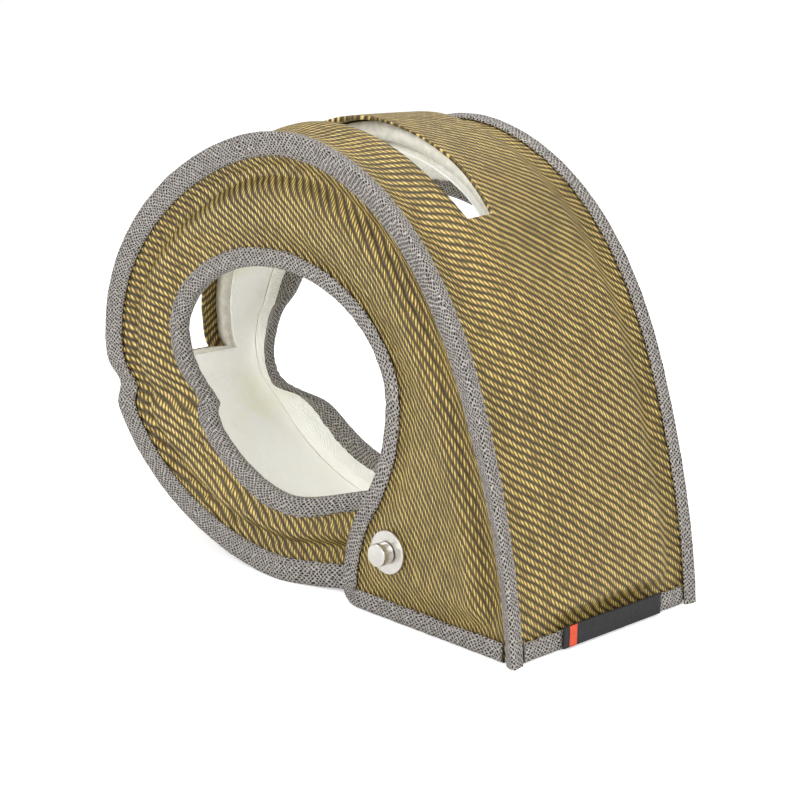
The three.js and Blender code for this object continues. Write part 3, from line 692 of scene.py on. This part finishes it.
def mesh_tape_material(name):
    """Wire mesh tape: fine crossing strands, with painted shade in the gaps between them."""
    material, tree, surface = shader(name)
    g = Graph(tree)
    u, v = g.cloth()
    a = g.math("ADD", g.math("MULTIPLY", u, 0.78), g.math("MULTIPLY", v, 0.62))
    b = g.math("SUBTRACT", g.math("MULTIPLY", u, 0.62), g.math("MULTIPLY", v, 0.78))
    wobble = g.math("MULTIPLY", g.math("SUBTRACT", g.noise(g.place(), 260.0, 2.0), 0.5), 2.8)
    strand_a = g.math("SINE", g.math("MULTIPLY", g.math("ADD", a, wobble), 2 * math.pi / TAPE_PITCH[0]))
    strand_b = g.math("SINE", g.math("MULTIPLY", g.math("ADD", b, wobble), 2 * math.pi / TAPE_PITCH[1]))
    height = g.math("MULTIPLY_ADD", g.math("MAXIMUM", strand_a, strand_b), 0.5, 0.5)
    speck = g.noise(g.place(), 900.0, 2.0, 0.7)
    # Painted shade: by their height, the gaps between strands darken to near black. The specks are the wire's
    # own uneven tone.
    tone_with_painted_shade = g.math("ADD", g.math("MULTIPLY", height, 0.7), g.math("MULTIPLY", speck, 0.5))
    g.feed(surface.inputs["Base Color"], g.ramp(tone_with_painted_shade, TAPE_SHADES))
    surface.inputs["Roughness"].default_value = 0.5
    surface.inputs["Metallic"].default_value = 0.35
    g.feed(surface.inputs["Normal"], g.bump(tone_with_painted_shade, 1.0, 0.0005))
    return material


def liner_material(name):
    """Pale needled cloth with painted light: it glows a little, in place of the light thrown back inside the
    blanket.
    """
    material, tree, surface = shader(name)
    g = Graph(tree)
    u, v = g.cloth()
    warp = g.math("SINE", g.math("MULTIPLY", u, 2 * math.pi / LINER_PITCH))
    weft = g.math("SINE", g.math("MULTIPLY", v, 2 * math.pi / LINER_PITCH))
    weave = g.math("MULTIPLY", warp, weft)
    patch = g.noise(g.place(), 38.0, 4.0)
    color = g.ramp(patch, LINER_SHADES)
    g.feed(surface.inputs["Base Color"], color)
    surface.inputs["Roughness"].default_value = 0.9
    # Painted light: the liner glows in its own colour.
    g.feed(surface.inputs["Emission Color"], color)
    surface.inputs["Emission Strength"].default_value = LINER_PAINTED_GLOW
    g.feed(surface.inputs["Normal"], g.bump(g.math("MULTIPLY_ADD", patch, 2.0, weave), 0.6, 0.0004))
    return material


def plain_material(name, code, rough, metal=0.0, grain=400.0, depth=0.00005):
    material, tree, surface = shader(name)
    g = Graph(tree)
    speck = g.noise(g.place(), grain, 3.0)
    low, high = hexa(code), tuple(min(1, c * 1.25 + 0.01) for c in hexa(code))
    g.feed(surface.inputs["Base Color"], g.ramp(speck, [(0.35, low), (0.7, high)]))
    surface.inputs["Roughness"].default_value = rough
    surface.inputs["Metallic"].default_value = metal
    g.feed(surface.inputs["Normal"], g.bump(speck, 0.5, depth))
    return material


# Twill colours from groove to crown: the dark end is painted shade, the pale end a painted highlight.
SHADES = [(0.1, hexa("1a1303")), (0.3, hexa("58461a")), (0.52, hexa("866f2f")), (0.82, hexa("e6cb7c"))]
panel_cloth = twill_material("panel twill", -0.6, -1.3, BIAS_BEND, SHADES, 0.34)
band_cloth = twill_material("band twill", -0.94, 1.3, 0.0, SHADES, 0.38)
tape_cloth = mesh_tape_material("mesh tape")
liner_cloth = liner_material("liner cloth")
felt = plain_material("felt", "dedbd0", 0.95, 0, 300.0, 0.0004)
steel = plain_material("stud steel", "c9c6c1", 0.32, 1.0, 90.0, 0.00002)
tab_cloth = plain_material("tab cloth", "141416", 0.7, 0, 900.0, 0.0001)
stripe_cloth = plain_material("stripe", "c8431c", 0.6, 0, 900.0, 0.0001)
thread = plain_material("thread", "8f8b84", 0.6, 0, 700.0, 0.0001)


# The cloth of the two side panels and the band.
PANEL_COLUMNS = column_numbers([3, 5, 8, 14, 8, 4])
LINER_COLUMNS = column_numbers([3, 3, 3, 8, 6, 3])
BAND_COLUMNS = column_numbers([3, 4, 9, 8, 9, 9, 4, 3])
BAND_LINER_COLUMNS = column_numbers([2, 3, 5, 5, 5, 5, 3, 2])
SLOT_NEAR = int(np.searchsorted(BAND_COLUMNS, 3))
SLOT_FAR = int(np.searchsorted(BAND_COLUMNS, 4))
LINER_SLOT_NEAR = int(np.searchsorted(BAND_LINER_COLUMNS, 3))
LINER_SLOT_FAR = int(np.searchsorted(BAND_LINER_COLUMNS, 4))

front = SidePanel(FRONT_EDGE, front_y, -1, FRONT_EDGE_LEAN)
back = SidePanel(BACK_EDGE, back_y, 1, BACK_EDGE_LEAN)
for name, panel, seed in (("front", front, 0), ("back", back, 100)):
    panel.lay_out(PLACES)
    relief = panel_relief(PLACES, seed)
    outer, flat = panel.grid(PANEL_COLUMNS, lambda o, i: o, relief)
    inner, _ = panel.grid(PANEL_COLUMNS, lambda o, i: o + SHELL)
    shell = grid_piece(f"{name}_panel_cloth", outer, inner, flat, panel_cloth)
    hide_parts(f"{name}_panel_shell", f"{name}_panel_core")
    lining_out, lining_flat = panel.grid(LINER_COLUMNS, lambda o, i: i)
    lining_in, _ = panel.grid(LINER_COLUMNS, lambda o, i: i - LINER)
    lining = grid_piece(f"{name}_panel_lining", lining_out, lining_in, lining_flat, liner_cloth)
    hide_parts(f"{name}_panel_liner")

BAND_RUN = arc_lengths(plain_outline(PLACES))
outer, y = band_grid(PLACES, BAND_COLUMNS, lambda o, i: o, band_relief)
inner, _ = band_grid(PLACES, BAND_COLUMNS, lambda o, i: o + SHELL)
band_uv = np.stack([BAND_RUN[:, None] + 0 * y, y], -1)
rows_open = (PLACES[:-1] >= SLOT_START) & (PLACES[1:] <= SLOT_END)
hole = np.zeros((ROWS - 1, len(BAND_COLUMNS) - 1), bool)
hole[np.ix_(rows_open, np.arange(SLOT_NEAR, SLOT_FAR))] = True
band_shell = grid_piece("band_cloth", outer, inner, band_uv, band_cloth, hole)
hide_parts("band_shell")

inside, y = band_grid(PLACES, BAND_LINER_COLUMNS, lambda o, i: i, None, LINER_SETBACK)
inside_top, _ = band_grid(PLACES, BAND_LINER_COLUMNS, lambda o, i: i - LINER, None, LINER_SETBACK)
lining_uv = np.stack([BAND_RUN[:, None] + 0 * y, y], -1)
hole = np.zeros((ROWS - 1, len(BAND_LINER_COLUMNS) - 1), bool)
hole[np.ix_(rows_open, np.arange(LINER_SLOT_NEAR, LINER_SLOT_FAR))] = True
band_lining = grid_piece("band_lining", inside, inside_top, lining_uv, liner_cloth,
                         hole)
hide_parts("band_liner")

# The felt ends short of the hems, and shows only at the slot's cut edges.
FELT_CLEAR = 2.4
FELT_ROWS = (22, 14)
CORE_ROWS = slice(FELT_ROWS[0], ROWS - FELT_ROWS[1])
core_out, y = band_grid(PLACES, BAND_LINER_COLUMNS, lambda o, i: o + SHELL + CORE_GAP, None, LINER_SETBACK)
core_in, _ = band_grid(PLACES, BAND_LINER_COLUMNS, lambda o, i: i - LINER - FELT_CLEAR, None, LINER_SETBACK)
core_out, core_in, core_uv = core_out[CORE_ROWS], core_in[CORE_ROWS], lining_uv[CORE_ROWS]
core = grid_piece("band_felt", core_out, core_in, core_uv, felt,
                  hole[CORE_ROWS][:len(core_out) - 1])
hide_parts("band_core")


# Folded tapes. The first points of a tape's section are its outer skin.
TAPE_SKIN_POINTS = 14
STITCH_PITCH = 3.9
STITCH_LENGTH = 2.6
STITCH_ARCH = 0.3
STITCH_SUNK = 0.12
THREAD_RADIUS = 0.22


def tape_profile(width):
    """Section of a folded tape, as pairs of reach from the fold and depth below the ridge."""
    outside = TAPE_EDGE_DROP - TAPE_GAP - TAPE
    inside = PINCHED + TAPE_GAP + TAPE
    fold = TAPE + 0.05
    return np.array([
        [width, outside + 0.55], [width - 0.25, outside + 0.08],
        [width * 0.7, outside - 0.12], [width * 0.4, outside - 0.16],
        [1.3, outside], [0.5, outside + 0.5], [0.08, outside + 1.5],
        [0, (outside + inside) / 2],
        [0.08, inside - 1.5], [0.5, inside - 0.5], [1.3, inside],
        [width * 0.5, inside + 0.05], [width - 0.25, inside - 0.08], [width, inside - 0.5],
        [width - 0.2, inside - TAPE], [fold + 0.4, inside - TAPE], [fold, inside - TAPE - 0.5],
        [fold, outside + TAPE + 0.5], [fold + 0.4, outside + TAPE], [width - 0.2, outside + TAPE]])


def folded_tape(name, origin, inward, below, seed):
    profile = tape_profile(EDGE_TAPE_WIDTH)
    run = arc_lengths(origin)
    around = arc_lengths(profile)
    wave = noise(run[:, None] / 9.0, around[None, :] / 9.0, seed) * 0.16
    lip = noise(run / 5.0, 0 * run, seed + 1) * 0.3
    across = profile[None, :, 0] + np.where(profile[None, :, 0] > EDGE_TAPE_WIDTH - 0.5, lip[:, None], 0)
    outward = np.sign(profile[:, 1] - profile[:, 1].mean())
    depth = profile[None, :, 1] + wave * outward * (np.arange(len(profile)) < TAPE_SKIN_POINTS)
    rings = origin[:, None] + inward[:, None] * across[..., None] + below[:, None] * depth[..., None]
    rings[..., 2] = np.maximum(rings[..., 2], 0)
    uv = np.stack([run[:, None] + 0 * across, around[None, :] + 0 * across], -1)
    piece = sweep_piece(name + "_mesh", rings, uv, tape_cloth)
    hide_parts(name)
    stitches(name + "_stitches", lerp(rings[:, 1], rings[:, 2], 0.4), -below)


def stitches(name, line, outward):
    """A row of short arched thread stitches along a line on the cloth."""
    run = arc_lengths(line)
    starts = np.arange(1.0, run[-1] - STITCH_PITCH, STITCH_PITCH)
    share = np.linspace(0, 1, 5)
    at = starts[:, None] + share * STITCH_LENGTH
    spot = np.stack([np.interp(at, run, line[:, k]) for k in range(3)], -1)
    out = unit(np.stack([np.interp(at, run, outward[:, k]) for k in range(3)], -1))
    ahead = unit(np.gradient(spot, axis=1))
    side = unit(np.cross(ahead, out))
    spot = spot + out * (STITCH_ARCH * np.sin(share * math.pi) - STITCH_SUNK)[:, None]
    angle = np.linspace(0, 2 * math.pi, 6, endpoint=False)[:, None]
    round_about = np.cos(angle) * side[:, :, None] + np.sin(angle) * out[:, :, None]
    rings = spot[:, :, None] + THREAD_RADIUS * round_about
    index = np.arange(rings[..., 0].size).reshape(rings.shape[:3])
    turned_on = np.roll(index, -1, axis=2)
    walls = np.stack([index[:, :-1], turned_on[:, :-1], turned_on[:, 1:], index[:, 1:]], -1)
    faces = walls.reshape(-1, 4).tolist() + index[:, 0, ::-1].tolist() + index[:, -1].tolist()
    piece_from_mesh(name, rings.reshape(-1, 3), faces, None, thread)


def in_space(flat, y):
    return np.stack([flat[:, 0], y + 0 * flat[:, 0], flat[:, 1]], 1)


def edge_tape(name, panel, seed):
    """Round the flap's foot, its corner and its side, and on round the bore."""
    hem_start = FOOT_REACH - SEAM_LEG_AT_FOOT - TAPE_GAP - 1
    hem = np.linspace(hem_start, FLAP_REACH + FLAP_CORNER, 60, endpoint=False)
    hem_points = np.stack([hem, 0 * hem], 1)
    edge_places, edge_share = edge_run(panel.edge)
    t = np.concatenate([np.linspace(FIRST, HEM_SHARE, 12, endpoint=False),
                        np.interp(np.linspace(0, 1, 420), edge_share, edge_places)])
    points, inward = panel.edge_points(t)
    flat = np.concatenate([hem_points, points])
    place = np.concatenate([0 * hem, t])
    lean, slope, level = (np.interp(place, panel.t, v) for v in (panel.lean, panel.slope, panel.level))
    reach = np.concatenate([np.tile([0.0, 1.0], (len(hem), 1)), inward]) * level[:, None]
    y = panel.ridge_y(place) - panel.facing * (lean + slope * EDGE_INSET)
    below = np.tile([0.0, -panel.facing, 0.0], (len(flat), 1))
    folded_tape(name, in_space(flat, y), in_space(reach, panel.facing * slope * level), below, seed)


def edge_run(edge):
    t = np.linspace(HEM_SHARE, 6, 5000)
    run = arc_lengths(along(edge, t, CREASE_SHARE_EDGE, HEM_SHARE))
    return t, run / run[-1]


def seam_tape(name, ridge_y, facing, seed):
    """Folded over the standing seam, one leg on the side panel and one on the band."""
    out = SEAM_DROP - TAPE_GAP - TAPE
    side_end = TAPE_EDGE_DROP - TAPE_GAP
    band_end = TAPE_EDGE_DROP - 0.4 - TAPE_GAP
    band = BAND_LEG - TAPE_GAP
    t = np.concatenate([np.linspace(0, FIRST, 4, endpoint=False), PLACES])
    leg = seam_leg_at(t) - TAPE_GAP
    one = np.ones_like(leg)
    profile = np.stack([np.stack(pair, 1) for pair in (
        (leg, one * (side_end - 0.45)), (leg - 0.3, one * (side_end - TAPE)),
        (lerp(leg, 1.5, 0.33), one * lerp(side_end - TAPE, out, 0.36) - 0.15),
        (lerp(leg, 1.5, 0.66), one * lerp(side_end - TAPE, out, 0.7) - 0.15),
        (one * 1.7, one * out), (one * 0.75, one * 0.22), (one * 0.2, one * 0.7),
        (one * lerp(0.2, band_end - TAPE, 0.4), one * lerp(0.9, band, 0.33)),
        (one * lerp(0.2, band_end - TAPE, 0.75), one * lerp(0.9, band, 0.66)),
        (one * (band_end - TAPE), one * (band - 0.3)), (one * (band_end - 0.4), one * band),
        (one * band_end, one * (band - 0.2)), (one * (SEAM_DROP - TAPE_GAP), one * 1.2),
        (one * 1.2, one * (SEAM_DROP - TAPE_GAP)), (leg - 0.2, one * side_end))], 1)
    base = outline_at(t)
    run = arc_lengths(base)
    around = arc_lengths(profile[len(profile) // 2])
    wave = noise(run[:, None] / 10.0, around[None, :] / 12.0, seed) * 0.14
    profile = profile.copy()
    profile[:, 1:10, 1] -= wave[:, 1:10] * np.array([1, 1, 1, 1, 0.6, 0.3, 0, 0, 0])
    profile[:, 1:10, 0] -= np.clip(wave[:, 1:10], -0.05, 1) * np.array([0, 0, 0, 0, 0.3, 0.6, 1, 1, 1])
    flat = base[:, None] + inward_at(t)[:, None] * profile[..., :1]
    y = ridge_y(t)[:, None] - facing * profile[..., 1]
    rings = np.stack([flat[..., 0], y, np.maximum(flat[..., 1], 0)], -1)
    uv = np.stack([run[:, None] + 0 * y, around[None, :] + 0 * y], -1)
    piece = sweep_piece(name + "_mesh", rings, uv, tape_cloth)
    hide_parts(name)
    sideways = np.tile([0.0, facing, 0.0], (len(t), 1))
    stitches(name + "_side_stitches", lerp(rings[:, 1], rings[:, 2], 0.4), sideways)
    outwards = np.stack([-inward_at(t)[:, 0], 0 * t, -inward_at(t)[:, 1]], 1)
    stitches(name + "_band_stitches", lerp(rings[:, 8], rings[:, 9], 0.5), outwards)


edge_tape("front_edge_tape", front, 41)
edge_tape("back_edge_tape", back, 43)
seam_tape("front_seam_tape", front_y, -1, 45)
seam_tape("back_seam_tape", back_y, 1, 47)

CLEAR = BAND_LEG + 2 * TAPE_GAP
tail = outline_at(6)[0]
tail_tape_reach = tail[0] + EDGE_INSET


def straight_tape(name, start, end, inward, below, seed):
    line = np.linspace(start, end, 40)
    folded_tape(name, line, np.tile(inward, (40, 1)), np.tile(below, (40, 1)), seed)


lean = unit(outline_at(0.08)[0] - outline_at(0)[0])
straight_tape("band_foot_tape", (FOOT_REACH, float(front_y(0)[0]) + CLEAR, 0),
              (FOOT_REACH, float(back_y(0)[0]) - CLEAR, 0), (lean[0], 0, lean[1]), (-1.0, 0, 0), 51)
straight_tape("band_tail_tape", (tail_tape_reach, float(front_y(6)[0]) + CLEAR, tail[1]),
              (tail_tape_reach, float(back_y(6)[0]) - CLEAR, tail[1]), (-1.0, 0, 0), (0, 0, 1.0), 53)
for name, panel, seed in (("front", front, 55), ("back", back, 57)):
    low = tail[1] + max(SEAM_LEG, PINCHED + TAPE) + 2 * TAPE_GAP
    high = panel.edge_points(6)[0][0, 1] - EDGE_TAPE_WIDTH - TAPE_END_GAP
    y = float(panel.ridge_y(6)[0])
    straight_tape(f"{name}_tail_tape", (tail_tape_reach, y, low), (tail_tape_reach, y, high),
                  (-1.0, 0, 0), (0, -panel.facing, 0), seed)


# Lacing studs, turned round their own axis. Heights count outwards from the ridge.
STUD_SIDES = 72
SHARP_ANGLE = 40


def turned(name, profile, facing):
    profile = np.array(profile, float)
    angle = np.linspace(0, 2 * math.pi, STUD_SIDES, endpoint=False)
    centre_y = float(front_y(0)[0]) if facing < 0 else float(back_y(0)[0])
    radius, height = profile[:, 0], profile[:, 1]
    rings = np.stack([STUD[0] + np.cos(angle)[:, None] * radius,
                      centre_y + facing * (height + 0 * angle[:, None]),
                      STUD[1] + np.sin(angle)[:, None] * radius], -1)
    count = len(profile)
    index = np.arange(STUD_SIDES * count).reshape(STUD_SIDES, count)
    nxt = np.roll(index, -1, axis=0)
    faces = []
    for k in range(count - 1):
        faces += np.stack([index[:, k], nxt[:, k], nxt[:, k + 1], index[:, k + 1]], 1).tolist()
    uv = np.stack([angle[:, None] * 4 + 0 * radius, height + 0 * angle[:, None]], -1)
    piece = piece_from_mesh(name + "_turned", rings.reshape(-1, 3), faces, uv.reshape(-1, 2), steel)
    weld = piece.modifiers.new("weld", "WELD")
    weld.merge_threshold = 1e-6
    piece.data.set_sharp_from_angle(angle=math.radians(SHARP_ANGLE))
    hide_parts(name)


def rounded(points, size, steps=3):
    """The profile with its inner corners rounded."""
    points = [np.array(p, float) for p in points]
    out = [points[0]]
    for a, b, c in zip(points, points[1:], points[2:]):
        r = min(size, np.linalg.norm(a - b) / 2.2, np.linalg.norm(c - b) / 2.2)
        p, q = b + unit(a - b) * r, b + unit(c - b) * r
        for k in range(steps + 1):
            s = k / steps
            out.append((1 - s) ** 2 * p + 2 * (1 - s) * s * b + s ** 2 * q)
    return [tuple(p) for p in out + [points[-1]]]


washer_top = -PANEL_CREST + GAP + WASHER_THICKNESS
clinch_face = -QUILT - 2 * GAP - WASHER_THICKNESS
shank_hole = STUD_SHANK_RADIUS + 0.4
POST_ROUND = 0.5
WASHER_ROUND = 0.35
for name, facing in (("front", -1), ("back", 1)):
    seat = washer_top + GAP
    top = washer_top + STUD_PROUD
    clinch = CLINCH_WASHER_RADIUS - 2
    turned(f"{name}_stud_post", rounded([
        (0, clinch_face - CLINCH_HEIGHT), (clinch, clinch_face - CLINCH_HEIGHT), (clinch, clinch_face),
        (STUD_SHANK_RADIUS, clinch_face), (STUD_SHANK_RADIUS, seat), (STUD_POST_RADIUS, seat),
        (STUD_POST_RADIUS, top), (0, top)], POST_ROUND), facing)
    for part, radius, low in (("washer", WASHER_RADIUS, washer_top - WASHER_THICKNESS),
                              ("clinch_washer", CLINCH_WASHER_RADIUS, clinch_face + GAP)):
        high = low + WASHER_THICKNESS
        middle = ((shank_hole + radius) / 2, low)
        ring = rounded([middle, (radius, low), (radius, high), (shank_hole, high), (shank_hole, low),
                        middle], WASHER_ROUND)
        turned(f"{name}_stud_{part}", ring, facing)


# Bare tab on the band's hem, with a plain stripe at its near end.
STRIPE_FROM_END = 3
STRIPE_WIDTH = 4
STRIPE_THICKNESS = 0.2
TAB_START = TAB_OFFSET - TAB_LENGTH / 2
tab_face = FOOT_REACH - (TAPE_EDGE_DROP - TAPE_GAP - TAPE) + GAP


def tab_piece(name, y0, y1, x0, thick, material):
    rows = np.linspace(y0, y1, 40)
    columns = np.linspace(1, 1 + TAB_HEIGHT, 10)
    bow = 0.25 * np.sin(rows / 9.0)[:, None] * ((columns - 1) / TAB_HEIGHT)[None, :] ** 2
    outer = np.stack([x0 + thick + bow, rows[:, None] + 0 * bow, columns[None, :] + 0 * bow], -1)
    inner = outer - np.array([thick, 0, 0])
    uv = np.stack([outer[..., 1], outer[..., 2]], -1)
    return grid_piece(name, outer, inner, uv, material)


tab = tab_piece("label_tab_cloth", TAB_START, TAB_START + TAB_LENGTH, tab_face, TAB_THICKNESS,
                tab_cloth)
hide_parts("label_tab")
stripe_start = TAB_START + STRIPE_FROM_END
tab_piece("tab_stripe", stripe_start, stripe_start + STRIPE_WIDTH,
          tab_face + TAB_THICKNESS - STRIPE_THICKNESS / 2, STRIPE_THICKNESS, stripe_cloth)


# Stage, light and camera.
FLOOR_SIZE = 4000
FLOOR_GREY = 0.9
FLOOR_GLOW = 0.46
WORLD_LIGHT = 0.6
FOCAL_LENGTH, SENSOR = 94.22, 36


def stage_plane():
    size = FLOOR_SIZE
    material, tree, surface = shader("floor")
    g = Graph(tree)
    surface.inputs["Base Color"].default_value = (FLOOR_GREY, FLOOR_GREY, FLOOR_GREY, 1)
    surface.inputs["Roughness"].default_value = 0.9
    surface.inputs["Specular IOR Level"].default_value = 0.0
    path = tree.nodes.new("ShaderNodeLightPath")
    surface.inputs["Emission Color"].default_value = (1, 1, 1, 1)
    g.feed(surface.inputs["Emission Strength"], g.math("MULTIPLY", path.outputs["Is Camera Ray"], FLOOR_GLOW))
    mesh = bpy.data.meshes.new("floor")
    corners = [(-size, -size, 0), (size, -size, 0), (size, size, 0), (-size, size, 0)]
    mesh.from_pydata([tuple(c * MM for c in p) for p in corners], [], [(0, 1, 2, 3)])
    floor = bpy.data.objects.new("floor", mesh)
    bpy.context.scene.collection.objects.link(floor)
    mesh.materials.append(material)


stage_plane()

world = bpy.data.worlds.new("studio")
bpy.context.scene.world = world
world.use_nodes = True
wt = world.node_tree
wt.nodes.clear()
g = Graph(wt)
wout = wt.nodes.new("ShaderNodeOutputWorld")
background = wt.nodes.new("ShaderNodeBackground")
path = wt.nodes.new("ShaderNodeLightPath")
seen = g.math("MAXIMUM", path.outputs["Is Camera Ray"], path.outputs["Is Transmission Ray"])
g.feed(background.inputs["Color"], (1, 1, 1, 1))
g.feed(background.inputs["Strength"], g.math("MULTIPLY_ADD", seen, 1 - WORLD_LIGHT, WORLD_LIGHT))
wt.links.new(background.outputs[0], wout.inputs[0])


def area_light(name, place, aim, width, height, watts):
    lamp = bpy.data.lights.new(name, "AREA")
    lamp.shape = "RECTANGLE"
    lamp.size, lamp.size_y = width * MM, height * MM
    lamp.energy = watts
    light = bpy.data.objects.new(name, lamp)
    bpy.context.scene.collection.objects.link(light)
    place, aim = Vector(place) * MM, Vector(aim) * MM
    facing = (aim - place).to_track_quat("-Z", "Y").to_matrix().to_4x4()
    light.matrix_world = Matrix.Translation(place) @ facing


area_light("key", (-500, -700, 700), (0, 0, 80), 300, 300, 3.0)
area_light("fill", (300, -800, 420), (-10, 20, 40), 300, 300, 3.0)
area_light("side", (850, -50, 350), (0, 0, 80), 400, 400, 3.0)
area_light("top", (0, 100, 900), (0, 0, 80), 700, 500, 4.0)

AZIMUTH, ELEVATION, ROLL = (math.radians(a) for a in (43.7283, 14.7693, 2.0))
DISTANCE = 820.03
TARGET = Vector((36.82 + SHIFT, 0, 65.66))
right = Vector((math.cos(AZIMUTH), math.sin(AZIMUTH), 0))
behind = Vector((math.sin(AZIMUTH) * math.cos(ELEVATION), -math.cos(AZIMUTH) * math.cos(ELEVATION),
                 math.sin(ELEVATION)))
up = behind.cross(right)
across = right * math.cos(ROLL) + up * math.sin(ROLL)
above = up * math.cos(ROLL) - right * math.sin(ROLL)
lens = bpy.data.cameras.new("camera")
lens.lens = FOCAL_LENGTH
lens.sensor_width = SENSOR
lens.clip_start = 0.01
camera = bpy.data.objects.new("camera", lens)
bpy.context.scene.collection.objects.link(camera)
turn = Matrix((across, above, behind)).transposed().to_4x4()
camera.matrix_world = Matrix.Translation((TARGET + behind * DISTANCE) * MM) @ turn
bpy.context.scene.camera = camera
bpy.context.scene.view_settings.view_transform = "Standard"
